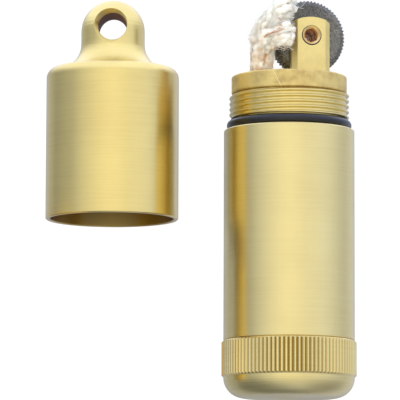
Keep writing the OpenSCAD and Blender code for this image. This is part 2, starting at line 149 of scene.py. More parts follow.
# The metal mirrors the tent below it, and not this panel
panel.visible_glossy = False
world = bpy.data.worlds.new("white_surround")
scene.world = world
world.use_nodes = True
surround = world.node_tree.nodes["Background"]
surround.inputs["Color"].default_value = srgb(WHITE_LIGHT)
surround.inputs["Strength"].default_value = 1


# Light. A closed tent of white cloth, brightest overhead and at the back, dimmer at the horizon,
# in front, at the front's corners and low in front, with its right side brighter and cooler than
# its left. A fill panel over the camera lights only what is matt.
TENT_RADIUS = 1.5
TOP_LEVEL = 1.28
# The cloth's level at each height, from -1 straight below to 1 straight above
LEFT_CLOTH = ((-1.0, 0.3), (-0.88, 0.52), (-0.65, 0.38), (-0.3, 0.41), (0.0, 0.48), (0.3, 0.53),
              (0.57, 0.8), (0.76, 0.96), (0.9, 1.12))
RIGHT_CLOTH = ((-1.0, 0.3), (-0.88, 0.66), (-0.3, 0.67), (0.0, 0.81), (0.45, 1.04), (0.78, 1.09),
               (0.9, 1.12))
# The cool tint of each side, full up to a third of the way to the top and none at the top
LEFT_TINT = (0.93, 1.03, 1.32)
RIGHT_TINT = (0.96, 1.06, 1.42)
TINT_FALL = 1.5
SIDE_BLEND = 0.3
BACK_LEVEL = 1.5
BACK_TINT = (0.94, 1.04, 1.4)
# The share of light left in front, low in front and at its corners. A fade runs between two
# values of y, of y and slanted z, or of the product of x and y, of the way to the cloth.
BACK_FADE = (0.25, 0.6)
FRONT_SHARE = 0.72
FRONT_FADE = (-1.0, -0.1)
UNDER_SHARE = 0.5
UNDER_SLANT = 0.5
UNDER_FADE = (-1.12, -1.0)
CORNER_SHARE = 0.6
CORNER_FADE = (-0.48, -0.22)
FILL_PLACE = Vector((-0.3, -0.2, 1.1))
FILL_SIDE = 0.5
FILL_WATTS = 8.0
cloth, tree = material("woven_tent_cloth")
spot = add(tree, "NewGeometry")
way = add(tree, "VectorMath", {0: spot.outputs["Position"]}, operation="NORMALIZE")
way = add(tree, "SeparateXYZ", {0: way})
height = add(tree, "MapRange", {"Value": way.outputs["Z"], "From Min": -1.0, "From Max": 1.0})
sides = []
for levels, tint in ((LEFT_CLOTH, LEFT_TINT), (RIGHT_CLOTH, RIGHT_TINT)):
    steps = []
    for z, level in levels:
        cool = min(1, TINT_FALL * (1 - z))
        steps.append(((z + 1) / 2, [level * (1 + (t - 1) * cool) for t in tint] + [1]))
    steps.append((1.0, [TOP_LEVEL] * 3 + [1]))
    sides.append(add(tree, "ValToRGB", {"Fac": height}, stops=steps))
across = add(tree, "MapRange", {"Value": way.outputs["X"], "From Min": -SIDE_BLEND,
                                "From Max": SIDE_BLEND}, interpolation_type="SMOOTHSTEP")
shade = add(tree, "Mix", {0: across, 6: sides[0].outputs["Color"], 7: sides[1].outputs["Color"]},
            data_type="RGBA")
front = add(tree, "MapRange", {"Value": way.outputs["Y"], "From Min": FRONT_FADE[0],
                               "From Max": FRONT_FADE[1], "To Min": FRONT_SHARE,
                               "To Max": 1.0})
under = add(tree, "Math", {0: way.outputs["Z"], 1: UNDER_SLANT, 2: way.outputs["Y"]},
            operation="MULTIPLY_ADD")
under = add(tree, "MapRange", {"Value": under, "From Min": UNDER_FADE[0],
                               "From Max": UNDER_FADE[1], "To Min": UNDER_SHARE,
                               "To Max": 1.0})
front = add(tree, "Math", {0: front, 1: under}, operation="MULTIPLY")
aside = add(tree, "Math", {0: way.outputs["X"]}, operation="ABSOLUTE")
corner = add(tree, "Math", {0: aside, 1: way.outputs["Y"]}, operation="MULTIPLY")
corner = add(tree, "MapRange", {"Value": corner, "From Min": CORNER_FADE[0],
                                "From Max": CORNER_FADE[1], "To Min": CORNER_SHARE,
                                "To Max": 1.0})
front = add(tree, "Math", {0: front, 1: corner}, operation="MULTIPLY")
back = add(tree, "MapRange", {"Value": way.outputs["Y"], "From Min": BACK_FADE[0],
                              "From Max": BACK_FADE[1]}, interpolation_type="SMOOTHSTEP")
back_light = [BACK_LEVEL * t for t in BACK_TINT] + [1]
shade = add(tree, "Mix", {0: back, 6: shade.outputs[2], 7: back_light}, data_type="RGBA")
lit = add(tree, "Emission", {"Color": shade.outputs[2], "Strength": front})
add(tree, "OutputMaterial", {"Surface": lit})
ball = bmesh.new()
bmesh.ops.create_uvsphere(ball, u_segments=48, v_segments=24, radius=TENT_RADIUS)
tent = place("light_tent", ball, cloth)
tent.visible_camera = False
lamp = bpy.data.lights.new("fill_panel", "AREA")
lamp.size = FILL_SIDE
lamp.energy = FILL_WATTS
fill_panel = bpy.data.objects.new("fill_panel", lamp)
fill_panel.matrix_world = (
    Matrix.Translation(FILL_PLACE) @ FILL_PLACE.to_track_quat("Z", "Y").to_matrix().to_4x4()
)
fill_panel.visible_glossy = False
scene.collection.objects.link(fill_panel)

# Reflector. A gold card stands on the table out of the picture, left of it and below the cap's
# end. It glows though it is no lamp, and paints the golden reflection in the tube's left side
# along its whole length.
CARD_X = -31 * MM
CARD_Y = (-38 * MM, -3 * MM)
CARD_TOP = 22 * MM
# The card's painted glow at each share of its height, dim at its foot and brightest near its top
CARD_GLOW = ((0.0, "#73694b"), (0.44, "#b19745"), (0.76, "#f9da6f"), (1.0, "#e7d795"))
gold_card, tree = material("glowing_gold_card")
spot = add(tree, "NewGeometry")
up = add(tree, "SeparateXYZ", {0: spot.outputs["Position"]})
up = add(tree, "MapRange", {"Value": up.outputs["Z"], "From Max": CARD_TOP})
gold = add(tree, "ValToRGB", {"Fac": up}, stops=[(z, srgb(code)) for z, code in CARD_GLOW])
lit = add(tree, "Emission", {"Color": gold.outputs["Color"], "Strength": 1.0})
add(tree, "OutputMaterial", {"Surface": lit})
flat = bmesh.new()
flat.faces.new([flat.verts.new((CARD_X, y, z)) for y, z in (
    (CARD_Y[0], 0), (CARD_Y[1], 0), (CARD_Y[1], CARD_TOP), (CARD_Y[0], CARD_TOP),
)])
card = place("glowing_reflection_card", flat, gold_card, smooth=False)
# Only reflections see it, so it neither lights nor shades the pieces
card.visible_camera = False
card.visible_diffuse = False
card.visible_shadow = False


# Body tube. Free-cutting brass bar turned on a lathe, then brushed along its turning lines, so
# highlights spread along the axis and stay narrow round it. Its neck has a cut thread.
BRASS_TUBE = "#e1cf8c"
BRASS_DULL = "#ccb06c"
THREAD_DIRT = "#e0cb82"
LIGHTER_X = 12.8425 * MM
LIGHTER_Z = 9.79 * MM
TURNING_STEP_MM = 0.22   # real feed marks are 0.08 mm, too fine for the picture
TURNING_DEPTH = 0.02 * MM
LINE_CHANGE_MM = 11.1   # so each line changes a little on its way round
SMUDGE_MM = 7   # the size of a finger's smudges
FILM_EDGE = 0.08 * MM
QUARTER_TURN = 0.25   # lays the streaks of light along the axis


def turned_brass(name, colour, axis, film, film_under, film_y, film_rough,
                 roughness=0.33, dull=0.13, streak=0.65, bore=None):
    """Brass turned about a line along Y through axis (x, z). Its hollows take the colour film,
    which is real dirt on some parts and painted shade in the cap's bore. They lie under the
    radius film_under, in the stretch film_y of the axis, which has the roughness film_rough. bore
    gives the painted shade of an upright hole's wall: its colour, place x, y and radius."""
    film_from, film_to = film_y
    made, tree = material(name)
    spot = add(tree, "TexCoord").outputs["Object"]
    # Rings at steps along the turned profile, whichever way it faces
    from_axis = add(tree, "VectorMath", {0: spot, 1: (axis[0], 0, axis[1])}, operation="SUBTRACT")
    outward = add(tree, "VectorMath", {0: from_axis, 1: (1, 0, 1)}, operation="MULTIPLY")
    radius = add(tree, "VectorMath", {0: outward}, operation="LENGTH").outputs["Value"]
    parts = add(tree, "SeparateXYZ", {0: spot})
    along = add(tree, "Math", {0: parts.outputs["Y"], 1: radius}, operation="ADD")
    step = 1 / (TURNING_STEP_MM * MM)
    along = add(tree, "Math", {0: along, 1: step}, operation="MULTIPLY")
    slow = add(tree, "VectorMath", {0: outward, "Scale": 1 / (LINE_CHANGE_MM * MM)},
               operation="SCALE")
    rings = add(tree, "CombineXYZ", {1: along})
    rings = add(tree, "VectorMath", {0: rings, 1: slow}, operation="ADD")
    lines = add(tree, "TexNoise", {"Vector": rings, "Scale": 1.0, "Detail": 3.0,
                                   "Roughness": 0.6})
    smudges = add(tree, "TexNoise", {"Vector": spot, "Scale": 1 / (SMUDGE_MM * MM),
                                     "Detail": 4.0, "Roughness": 0.55})
    worn = add(tree, "Math", {0: lines, 1: smudges}, operation="MULTIPLY")
    worn = add(tree, "MapRange", {"Value": worn, "From Min": 0.12, "From Max": 0.4,
                                  "To Min": 0.0, "To Max": dull * 2})
    tone = add(tree, "Mix", {0: worn, 6: srgb(colour), 7: srgb(BRASS_DULL)}, data_type="RGBA")
    stretch = add(tree, "Math", {
        0: parts.outputs["Y"], 1: (film_from + film_to) / 2, 2: (film_to - film_from) / 2,
    }, operation="COMPARE")
    held = add(tree, "MapRange", {"Value": radius, "From Min": film_under - FILM_EDGE,
                                  "From Max": film_under + FILM_EDGE,
                                  "To Min": 1.0, "To Max": 0.0})
    held = add(tree, "Math", {0: held, 1: stretch}, operation="MULTIPLY")
    tone = add(tree, "Mix", {0: held, 6: tone.outputs[2], 7: srgb(film)}, data_type="RGBA")
    rough = add(tree, "MapRange", {"Value": smudges, "From Min": 0.3, "From Max": 0.7,
                                   "To Min": roughness - 0.04, "To Max": roughness + 0.06})
    rough = add(tree, "Mix", {0: stretch, 2: rough, 3: film_rough})
    bare = 1.0
    if bore:
        # Painted shade covers the hole's wall: dark, matt and not metallic, so it neither shines
        # nor mirrors
        bore_shade, x, y, r = bore
        away = add(tree, "VectorMath", {0: spot, 1: (x, y, 0)}, operation="SUBTRACT")
        away = add(tree, "VectorMath", {0: away, 1: (1, 1, 0)}, operation="MULTIPLY")
        away = add(tree, "VectorMath", {0: away}, operation="LENGTH").outputs["Value"]
        in_bore = add(tree, "Math", {0: away, 1: r}, operation="LESS_THAN")
        tone = add(tree, "Mix", {0: in_bore, 6: tone.outputs[2], 7: srgb(bore_shade)},
                   data_type="RGBA")
        rough = add(tree, "Mix", {0: in_bore, 2: rough, 3: 1.0})
        bare = add(tree, "MapRange", {"Value": in_bore, "To Min": 1.0, "To Max": 0.0})
    bump = add(tree, "Bump", {"Height": lines, "Strength": 0.025, "Distance": TURNING_DEPTH})
    tangent = add(tree, "Tangent", direction_type="RADIAL", axis="Y")
    shader = add(tree, "BsdfPrincipled", {
        "Base Color": tone.outputs[2], "Metallic": bare, "Roughness": rough,
        "Anisotropic": streak, "Anisotropic Rotation": QUARTER_TURN, "Tangent": tangent,
        "Normal": bump, "Coat Weight": 0.12, "Coat Roughness": 0.3,
    })
    add(tree, "OutputMaterial", {"Surface": shader})
    return made


def finish_node(node, finish):
    """Gives a CAD node its material."""
    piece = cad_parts[node]
    piece.data.materials.clear()
    piece.data.materials.append(finish)


lighter_axis = (LIGHTER_X, LIGHTER_Z)
tube_brass = turned_brass(
    "turned_brass_tube", BRASS_TUBE, lighter_axis,
    film=THREAD_DIRT, film_under=8.55 * MM, film_y=(10.5 * MM, 15.2 * MM), film_rough=0.3,
)
finish_node("body_tube", tube_brass)


# Cap. Turned from the same bar, bored and threaded inside, with a post that has a chamfered
# cross hole for a ring or cord. The bore is left as cut, and painted shade colours it darker
# than the outside.
BRASS_CAP = "#e3cd80"
CAP_X = -12.9575 * MM
CAP_Z = 9.675 * MM
# Painted shade: the cap's bore is coloured darker than its outside
CAP_BORE_SHADE = "#bca05c"
# Painted shade on the cross hole's wall
HOLE_SHADE = "#744818"
HOLE_Y = 24.75 * MM
HOLE_R = 2.09 * MM
cap_brass = turned_brass(
    "turned_brass_cap", BRASS_CAP, (CAP_X, CAP_Z),
    film=CAP_BORE_SHADE, film_under=9.2 * MM, film_y=(-4 * MM, 17.5 * MM), film_rough=0.3,
    dull=0.18, bore=(HOLE_SHADE, CAP_X, HOLE_Y, HOLE_R),
)
finish_node("cap", cap_brass)


# Base plug. Turned brass with a straight-knurled band to grip, a rounded foot and a hollow
# spigot that screws into the tube. The rolled ridges are polished on their crests and hold grime
# between them.
KNURL_GRIME = "#b29e68"
plug_brass = turned_brass(
    "turned_brass_plug", BRASS_TUBE, lighter_axis,
    film=KNURL_GRIME, film_under=9.7 * MM, film_y=(-26.0 * MM, -20.98 * MM), film_rough=0.25,
    dull=0.25, streak=0.5,
)
finish_node("base_plug", plug_brass)


# O-rings. One is stretched over the neck below its thread, the other sits in a groove of the
# plug's spigot. Moulded nitrile rubber with a little oil on it looks near black, with a soft
# bluish highlight from the tent.
NITRILE = "#121110"
NITRILE_DUST = "#22211f"
DUST_MM = 1.11
RUBBER_GRAIN_MM = 0.25   # the mould leaves 0.05 mm grain, too fine for the picture
RUBBER_GRAIN_DEPTH = 0.02 * MM
rubber, tree = material("moulded_nitrile_rubber")
spot = add(tree, "TexCoord").outputs["Object"]
dust = add(tree, "TexNoise", {"Vector": spot, "Scale": 1 / (DUST_MM * MM), "Detail": 5.0,
                              "Roughness": 0.6})
dust = add(tree, "MapRange", {"Value": dust, "From Min": 0.45, "From Max": 0.8, "To Max": 0.5})
colour = add(tree, "Mix", {0: dust, 6: srgb(NITRILE), 7: srgb(NITRILE_DUST)}, data_type="RGBA")
grain = add(tree, "TexNoise", {"Vector": spot, "Scale": 1 / (RUBBER_GRAIN_MM * MM),
                               "Detail": 2.0})
bump = add(tree, "Bump", {"Height": grain, "Strength": 0.2, "Distance": RUBBER_GRAIN_DEPTH})
shader = add(tree, "BsdfPrincipled", {
    "Base Color": colour.outputs[2], "Roughness": 0.3, "IOR": 1.46, "Normal": bump,
})
add(tree, "OutputMaterial", {"Surface": shader})
finish_node("neck_o_ring", rubber)
finish_node("base_o_ring", rubber)


# Insert. Brass, milled and left matt, and pressed into the neck. Its ears are clean and pale,
# with softly worn corners, and its flange has tarnished to olive gold in blotches, with one thin
# bright scratch down its front.
SATIN_BRASS = "#e6d086"
FLANGE_TARNISH = "#e2c87c"
BLOTCH = "#a98a52"
SCRATCH = "#f3e0a8"
FLANGE_TOP_Y = 17.8 * MM
TARNISH_EDGE = (FLANGE_TOP_Y - 0.02 * MM, FLANGE_TOP_Y + 0.1 * MM)
SCRATCH_START = Vector((10.461, 17.403)) * MM
SCRATCH_END = Vector((11.465, 15.345)) * MM
SCRATCH_HALF_WIDTH = 0.035 * MM
BLOTCH_MM = 2.38
GRIT_MM = 1 / 3   # milling and pickling leave 0.05 mm grain, too fine for the picture
GRIT_DEPTH = 0.05 * MM
WORN_CORNER_R = 0.25 * MM
satin, tree = material("satin_tarnished_brass")
spot = add(tree, "TexCoord").outputs["Object"]
parts = add(tree, "SeparateXYZ", {0: spot})
blotch = add(tree, "TexNoise", {"Vector": spot, "Scale": 1 / (BLOTCH_MM * MM), "Detail": 6.0,
                                "Roughness": 0.62})
blotch = add(tree, "MapRange", {"Value": blotch, "From Min": 0.42, "From Max": 0.7})
on_flange = add(tree, "MapRange", {"Value": parts.outputs["Y"], "From Min": TARNISH_EDGE[0],
                                   "From Max": TARNISH_EDGE[1], "To Min": 1.0, "To Max": 0.0})
much = add(tree, "MapRange", {"Value": on_flange, "To Min": 0.2, "To Max": 0.7})
blotch = add(tree, "Math", {0: blotch, 1: much}, operation="MULTIPLY")
colour = add(tree, "Mix", {0: on_flange, 6: srgb(SATIN_BRASS), 7: srgb(FLANGE_TARNISH)},
             data_type="RGBA")
colour = add(tree, "Mix", {0: blotch, 6: colour.outputs[2], 7: srgb(BLOTCH)}, data_type="RGBA")
cut = (SCRATCH_END - SCRATCH_START).normalized()
square = (-cut.y, cut.x, 0)
across = add(tree, "VectorMath", {0: spot, 1: square}, operation="DOT_PRODUCT").outputs["Value"]
place_of_cut = SCRATCH_START.x * square[0] + SCRATCH_START.y * square[1]
scratch = add(tree, "Math", {0: across, 1: place_of_cut, 2: SCRATCH_HALF_WIDTH},
              operation="COMPARE")
upper_half = add(tree, "Math", {0: parts.outputs["Z"], 1: LIGHTER_Z}, operation="GREATER_THAN")
scratch = add(tree, "Math", {0: scratch, 1: upper_half}, operation="MULTIPLY")
scratch = add(tree, "Math", {0: scratch, 1: on_flange}, operation="MULTIPLY")
colour = add(tree, "Mix", {0: scratch, 6: colour.outputs[2], 7: srgb(SCRATCH)}, data_type="RGBA")
grit = add(tree, "TexNoise", {"Vector": spot, "Scale": 1 / (GRIT_MM * MM), "Detail": 3.0,
                              "Roughness": 0.7})
worn_corner = add(tree, "Bevel", {"Radius": WORN_CORNER_R}, samples=6)
bump = add(tree, "Bump", {"Height": grit, "Strength": 0.7, "Distance": GRIT_DEPTH,
                          "Normal": worn_corner})
shader = add(tree, "BsdfPrincipled", {
    "Base Color": colour.outputs[2], "Metallic": 1.0, "Roughness": 0.5, "Normal": bump,
})
add(tree, "OutputMaterial", {"Surface": shader})
finish_node("insert", satin)


# Striker wheel. Hardened steel that turns on the axle between the ears. Blasting leaves it dark
# grey and finely pitted, and its cut teeth carry a little rust. It is coloured darker near the
# wick.
STEEL = "#938f80"
STEEL_PITS = "#4e4c46"
STEEL_RUST = "#6e5a44"
WHEEL_DARK_NEAR_WICK = "#4c4a46"
FLAME_PLACE = (14 * MM, 28 * MM, 12 * MM)
WHEEL_DARK_FROM = 2.5 * MM
WHEEL_DARK_TO = 7 * MM
RUST_MM = 1.11
BLAST_MM = 0.17   # real blasting grit leaves 0.05 mm pits, too fine for the picture
BLAST_DEPTH = 0.06 * MM
steel, tree = material("hardened_blasted_steel")
spot = add(tree, "TexCoord").outputs["Object"]
rust = add(tree, "TexNoise", {"Vector": spot, "Scale": 1 / (RUST_MM * MM), "Detail": 5.0,
                              "Roughness": 0.7})
rust = add(tree, "MapRange", {"Value": rust, "From Min": 0.5, "From Max": 0.75, "To Max": 0.6})
blast = add(tree, "TexNoise", {"Vector": spot, "Scale": 1 / (BLAST_MM * MM), "Detail": 2.0,
                               "Roughness": 0.7})
pits = add(tree, "MapRange", {"Value": blast, "From Min": 0.44, "From Max": 0.57})
colour = add(tree, "Mix", {0: pits, 6: srgb(STEEL), 7: srgb(STEEL_PITS)}, data_type="RGBA")
colour = add(tree, "Mix", {0: rust, 6: colour.outputs[2], 7: srgb(STEEL_RUST)},
             data_type="RGBA")
# Darker near the wick, fading out with distance from the flame's place
near_flame = add(tree, "VectorMath", {0: spot, 1: FLAME_PLACE}, operation="DISTANCE")
wheel_dark = add(tree, "MapRange", {"Value": near_flame.outputs["Value"], "From Min": WHEEL_DARK_FROM,
                              "From Max": WHEEL_DARK_TO, "To Min": 0.55, "To Max": 0.0})
colour = add(tree, "Mix", {0: wheel_dark, 6: colour.outputs[2], 7: srgb(WHEEL_DARK_NEAR_WICK)}, data_type="RGBA")
bump = add(tree, "Bump", {"Height": blast, "Strength": 0.7, "Distance": BLAST_DEPTH})
shader = add(tree, "BsdfPrincipled", {
    "Base Color": colour.outputs[2], "Metallic": 1.0, "Roughness": 0.5, "Normal": bump,
})
add(tree, "OutputMaterial", {"Surface": shader})
finish_node("striker_wheel", steel)


# Axle. A tubular rivet drawn from soft brass and flared at its ends to hold it in the ears. It
# is smooth and bright outside, with faint random brown stains. Its bore is painted orange with
# dark patches: painted light and shade inside the hole.
SOFT_BRASS = "#eed79c"
BROWN_STAIN_AND_BORE_LIGHT = "#e8b068"
BORE_SHADE_PATCH = "#70401c"
BORE_R = 0.99 * MM
BORE_EDGE_R = 1.1 * BORE_R
STAIN_MM = 0.769
SHADE_PATCH_MM = 2 / 3
AXLE_PLACE = (15.3871 * MM, 23.6406 * MM, 9.2954 * MM)
AXLE_WAY = (0.190809, 0, 0.9816272)
soft_brass, tree = material("drawn_soft_brass")
spot = add(tree, "TexCoord").outputs["Object"]
from_axle = add(tree, "VectorMath", {0: spot, 1: AXLE_PLACE}, operation="SUBTRACT")
from_axle = add(tree, "VectorMath", {0: from_axle, 1: AXLE_WAY}, operation="CROSS_PRODUCT")
from_axle = add(tree, "VectorMath", {0: from_axle}, operation="LENGTH").outputs["Value"]
inside = add(tree, "MapRange", {"Value": from_axle, "From Min": BORE_R,
                                "From Max": BORE_EDGE_R, "To Min": 1.0, "To Max": 0.0})
stain = add(tree, "TexNoise", {"Vector": spot, "Scale": 1 / (STAIN_MM * MM), "Detail": 4.0})
stain = add(tree, "MapRange", {"Value": stain, "From Min": 0.4, "From Max": 0.7, "To Max": 0.3})
# Painted light: the bore takes the orange in full, the outside only faint random stains
stain = add(tree, "Math", {0: inside, 1: stain}, operation="MAXIMUM")
colour = add(tree, "Mix", {0: stain, 6: srgb(SOFT_BRASS), 7: srgb(BROWN_STAIN_AND_BORE_LIGHT)}, data_type="RGBA")
# Painted shade: dark patches in the bore
shade_patch = add(tree, "TexNoise", {"Vector": spot, "Scale": 1 / (SHADE_PATCH_MM * MM), "Detail": 2.0})
shade_patch = add(tree, "MapRange", {"Value": shade_patch, "From Min": 0.47, "From Max": 0.56, "To Max": 0.9})
shade_patch = add(tree, "Math", {0: shade_patch, 1: inside}, operation="MULTIPLY")
colour = add(tree, "Mix", {0: shade_patch, 6: colour.outputs[2], 7: srgb(BORE_SHADE_PATCH)}, data_type="RGBA")
bare = add(tree, "MapRange", {"Value": inside, "To Min": 1.0, "To Max": 0.5})
rough = add(tree, "MapRange", {"Value": inside, "To Min": 0.3, "To Max": 0.6})
shader = add(tree, "BsdfPrincipled", {
    "Base Color": colour.outputs[2], "Metallic": bare, "Roughness": rough,
})
add(tree, "OutputMaterial", {"Surface": shader})
finish_node("wheel_axle", soft_brass)


# Flint tube, plunger and screw. Small turned brass parts inside the tank, duller than the case
# and filmed with fuel. The tube is pressed up into the insert, the plunger slides in it, and the
# slotted screw closes it from below.
small_brass = turned_brass(
    "turned_brass_small_parts", BRASS_CAP, lighter_axis,
    film=THREAD_DIRT, film_under=2.2 * MM, film_y=(-20 * MM, 15 * MM), film_rough=0.35,
    roughness=0.35, dull=0.3, streak=0.4,
)
for node in ("flint_tube", "flint_plunger", "flint_screw"):
    finish_node(node, small_brass)


# Flint. A cast rod of cerium alloy that stands loose in its tube on the plunger. It is dark and
# finely pitted, and worn hollow where the wheel rubs it.
CERIUM_ALLOY = "#5a5450"
CERIUM_PITS = "#2e2b2a"
PIT_MM = 0.4   # real pits are about 0.1 mm across, too fine for the picture
PIT_DEPTH = 0.05 * MM
ferrocerium, tree = material("cast_ferrocerium")
spot = add(tree, "TexCoord").outputs["Object"]
pits = add(tree, "TexNoise", {"Vector": spot, "Scale": 1 / (PIT_MM * MM), "Detail": 4.0,
                              "Roughness": 0.7})
hollow = add(tree, "MapRange", {"Value": pits, "From Min": 0.5, "From Max": 0.65})
colour = add(tree, "Mix", {0: hollow, 6: srgb(CERIUM_ALLOY), 7: srgb(CERIUM_PITS)},
             data_type="RGBA")
bump = add(tree, "Bump", {"Height": pits, "Strength": 0.4, "Distance": PIT_DEPTH})
shader = add(tree, "BsdfPrincipled", {
    "Base Color": colour.outputs[2], "Metallic": 1.0, "Roughness": 0.55, "Normal": bump,
})
add(tree, "OutputMaterial", {"Surface": shader})
finish_node("flint", ferrocerium)


# Flint spring. Music wire, cold drawn and coiled, and held between the screw and the plunger.
# It is smooth and bright, with a film of oil that browns it in patches.
SPRING_STEEL = "#b3b3b5"
SPRING_OIL = "#7d7064"
OIL_MM = 0.714
music_wire, tree = material("drawn_music_wire")
spot = add(tree, "TexCoord").outputs["Object"]
film = add(tree, "TexNoise", {"Vector": spot, "Scale": 1 / (OIL_MM * MM), "Detail": 3.0})
film = add(tree, "MapRange", {"Value": film, "From Min": 0.45, "From Max": 0.7})
colour = add(tree, "Mix", {0: film, 6: srgb(SPRING_STEEL), 7: srgb(SPRING_OIL)},
             data_type="RGBA")
shader = add(tree, "BsdfPrincipled", {
    "Base Color": colour.outputs[2], "Metallic": 1.0, "Roughness": 0.3,
})
add(tree, "OutputMaterial", {"Surface": shader})
finish_node("flint_spring", music_wire)


# Wick. Loosely spun cotton drawn up through the insert and frayed by use into two locks: one
# blown back over the wheel, one lying across the near ear. Thick soft plies, loose fibres and
# fine wisps follow each lock, and soot and copper have stained its stem.
COTTON = "#e7e7d9"
COTTON_CREAM = "#ddd4ba"
COTTON_STAIN = "#c2986c"
STAIN_TOP_Y = 25.0 * MM
PATCH_MM = 1.43
FUZZ_MM = 0.2   # real cotton fibres are 0.02 mm thick, too fine for the picture
FUZZ_DEPTH = 0.08 * MM
INSERT_TURN = math.radians(11)
BASE_Y = -29.1 * MM
SEED = 3
# From here on the wick's sizes are in the insert's own millimetres. A route's points give x, y
# and z, then how wide and how deep the lock is there.
STEM = (
    (-4.2, 0.0, 45.0, 1.15, 1.15), (-4.28, 0.0, 46.6, 1.2, 1.2), (-4.34, -0.4, 48.1, 1.3, 1.2),
    (-4.32, -1.1, 49.6, 1.5, 1.25), (-4.4, -2.0, 50.9, 1.5, 1.2),
)
UPPER_LOCK = (
    (-4.7, -2.7, 52.4, 1.35, 1.1), (-4.25, -3.2, 53.8, 1.4, 1.1), (-3.3, -3.7, 55.0, 1.45, 1.1),
    (-2.1, -3.95, 56.0, 1.5, 1.1), (-0.9, -4.0, 56.9, 1.5, 1.1), (0.2, -3.9, 57.4, 1.4, 1.0),
)
LOWER_LOCK = (
    (-3.9, -3.2, 51.7, 1.4, 1.1), (-3.1, -4.0, 52.2, 1.55, 1.2), (-2.1, -4.7, 52.5, 1.75, 1.2),
    (-1.1, -5.1, 52.6, 1.9, 1.1), (-0.1, -5.3, 52.6, 1.95, 1.0),
)
STRAY_LOCK = (
    (-5.0, -2.2, 51.7, 0.9, 0.8), (-5.7, -2.0, 52.1, 0.9, 0.7), (-6.4, -1.7, 51.6, 0.8, 0.6),
)
# Each bundle's route, its side of the stem, its plies, its loose fibres and their spread
BUNDLES = (
    (STEM + UPPER_LOCK, -0.45, 12, 170, 1.12),
    (STEM + LOWER_LOCK, 0.45, 11, 150, 1.05),
    (STEM + STRAY_LOCK, -0.3, 4, 50, 1.0),
)
# Each route's wisps, and the share of it that they reach
WISPS = (
    (STEM + UPPER_LOCK, 380, 1.0), (STEM + LOWER_LOCK, 140, 0.9), (STEM + STRAY_LOCK, 90, 1.0),
)
# The root in the tank, the plies, the loose fibres and the wisps. A reach, start or span is a
# share of the route, and a pair of values is the range that each strand draws its own from.
ROOT_X = -4.2
ROOT_HEIGHTS = (40, 45.2)
ROOT_RADIUS = 1.15
PLY_RADIUS = 0.6
PLY_SIDES = 10
PLY_SPREAD = 0.72
PLY_REACH = (0.86, 0.97)
PLY_LUMPS = ((1.7, 0.32), (5.0, 0.2))   # lumps in a millimetre, and how much they swell
PLY_SWELL = 2
FIBRE_REACH = (0.8, 0.98)
FIBRE_RADIUS = (0.04, 0.09)   # real fibres are 0.01 mm, too fine for the picture
WISP_START = (0.05, 0.85)
WISP_SPAN = (0.12, 0.25)
WISP_RADIUS = (0.018, 0.03)
WISP_SPREAD = 1.2
WISP_WANDER = 1.3
FEWEST_POINTS = 4
# How a strand runs: its steps, how far and how often it sways and curls aside, how loosely it
# lies in the stem and in the lock, and the shares of the route where the bundles part
ROUTE_GAP = 1.3
STRAND_STEP = 0.3
FEWEST_STEPS = 6
WANDER = 0.5
SWAY_RATE = 0.8
CURL_RATE = 3.0
CURL_SHARE = 0.35
PHASES = 100
CURL_PLANE = 9
STEM_LOOSE = 0.3
LOCK_LOOSE = 0.5
STEM_SHARE = 0.5
LOOK_AHEAD = 0.02
SPLIT_START = 0.3
SPLIT_LENGTH = 0.3
# What the strands keep clear of: the top of the box, the wheel's side and the near ear
TOP_LIMIT = 58.0
TOP_GIVE = 0.12
WHEEL_X = -3.2
WHEEL_Y = -2.25
EAR_X = -0.7
EAR_Y = -4.0
EAR_TOP = 55.8
SHORT_X = -0.15
SHORT_TOP = 56.3


def lies_in_insert(mesh):
    """Moves a mesh made in the insert's own millimetres to its place: x across the ears' slot,
    y away from the eye and z up from the lighter's base."""
    c, s = math.cos(INSERT_TURN) * MM, math.sin(INSERT_TURN) * MM
    mesh.transform(Matrix((
        (c, -s, 0, LIGHTER_X), (0, 0, MM, BASE_Y), (-s, -c, 0, LIGHTER_Z), (0, 0, 0, 1)
    )))


def on_route(points, share):
    """The value at a share of a smooth curve through points, a Catmull-Rom spline."""
    last = len(points) - 1
    at = min(max(share, 0), 1) * last
    i = min(int(at), last - 1)
    f = at - i
    a, b, c, d = (Vector(points[min(max(j, 0), last)]) for j in (i - 1, i, i + 1, i + 2))
    return 0.5 * (2 * b + (c - a) * f + (2 * a - 5 * b + 4 * c - d) * f ** 2
                  + (3 * b - a - 3 * c + d) * f ** 3)


def lay_strand(mesh, path, radius, tip, sides, shade=0.0):
    """Sweeps one closed thin tube along a path. It thins to tip times its radius at its end."""
    tint = mesh.verts.layers.float.get("shade")
    across = (path[1] - path[0]).orthogonal().normalized()
    rings = []
    for i, point in enumerate(path):
        ahead = (path[min(i + 1, len(path) - 1)] - path[max(i - 1, 0)]).normalized()
        across = (across - ahead * across.dot(ahead)).normalized()
        over = ahead.cross(across)
        r = radius * (1 - (1 - tip) * i / (len(path) - 1))
        ring = []
        for k in range(sides):
            turn = math.tau * k / sides
            vert = mesh.verts.new(point + (across * math.cos(turn) + over * math.sin(turn)) * r)
            if tint:
                vert[tint] = shade
            ring.append(vert)
        rings.append(ring)
    for low, high in zip(rings, rings[1:]):
        for k in range(sides):
            mesh.faces.new((low[k], low[(k + 1) % sides], high[(k + 1) % sides], high[k]))
    mesh.faces.new(rings[0][::-1])
    mesh.faces.new(rings[-1])


def clear_of_metal(point):
    """Keeps a point of the wick off the wheel, the near ear and the top of the box."""
    if point.x > WHEEL_X:
        point.y = min(point.y, WHEEL_Y)
    if point.x > EAR_X and point.z < EAR_TOP:
        point.y = min(point.y, EAR_Y)
    if point.z > TOP_LIMIT:
        point.z = TOP_LIMIT + TOP_GIVE * math.tanh(point.z - TOP_LIMIT)
    return point


